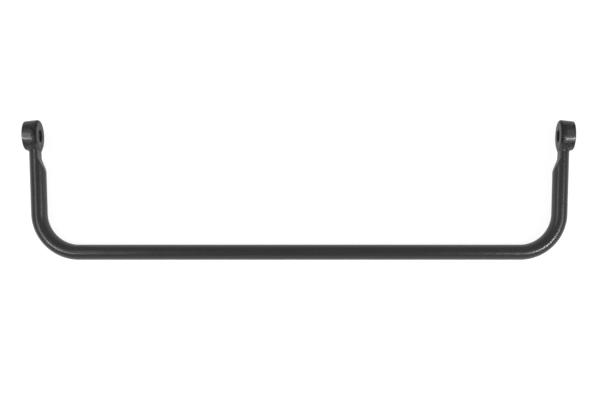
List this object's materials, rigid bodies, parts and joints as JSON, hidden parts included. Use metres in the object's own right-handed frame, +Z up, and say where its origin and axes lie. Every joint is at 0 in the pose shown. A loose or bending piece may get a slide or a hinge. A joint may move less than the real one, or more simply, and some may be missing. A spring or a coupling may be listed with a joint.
{
  "type": "sway bar",
  "caption": "U-shaped round spring-steel sway bar with flattened arm ends, a forged eye on each arm and a bonded rubber bush with a steel sleeve in each eye.",
  "frame": {"origin": "middle of the bounding box's bottom face, with the bar lying on a flat surface at Z = 0", "axes": "+X along the straight torsion section from the left arm to the right arm, +Y from the torsion section towards the eyes, +Z up. The bar rests on its torsion section and on both eyes, so its own plane is tipped up 4.2 degrees about X"},
  "size_m": [0.9022, 0.2294, 0.0516],
  "materials": {
    "black_steel": "satin charcoal-black coating over forged and bent spring steel",
    "bush_shell_steel": "dull phosphated steel",
    "bush_rubber": "matt black moulded rubber",
    "sleeve_steel": "dark oxidised turned steel"
  },
  "bodies": {
    "left_half": {"bar_left_half": "black_steel", "left_bush_shell": "bush_shell_steel", "left_bush_rubber": "bush_rubber"},
    "right_half": {"bar_right_half": "black_steel", "right_bush_shell": "bush_shell_steel", "right_bush_rubber": "bush_rubber"},
    "left_sleeve": {"left_bush_sleeve": "sleeve_steel"},
    "right_sleeve": {"right_bush_sleeve": "sleeve_steel"}
  },
  "joints": [
    {"name": "bar_twist", "type": "hinge", "parent": "left_half", "child": "right_half", "pos_m": [0, -0.10204, 0.01269], "axis": [1, 0, 0], "range_deg": [-20, 20], "stiffness_Nm_per_rad": 4035},
    {"name": "left_bush_windup", "type": "hinge", "parent": "left_half", "child": "left_sleeve", "pos_m": [-0.4362, 0.08873, 0.02684], "axis": [0.989, 0.0109, -0.1474], "range_deg": [-20, 20], "stiffness_Nm_per_rad": 35},
    {"name": "right_bush_windup", "type": "hinge", "parent": "right_half", "child": "right_sleeve", "pos_m": [0.4362, 0.08873, 0.02684], "axis": [0.989, -0.0109, 0.1474], "range_deg": [-20, 20], "stiffness_Nm_per_rad": 35}
  ]
}
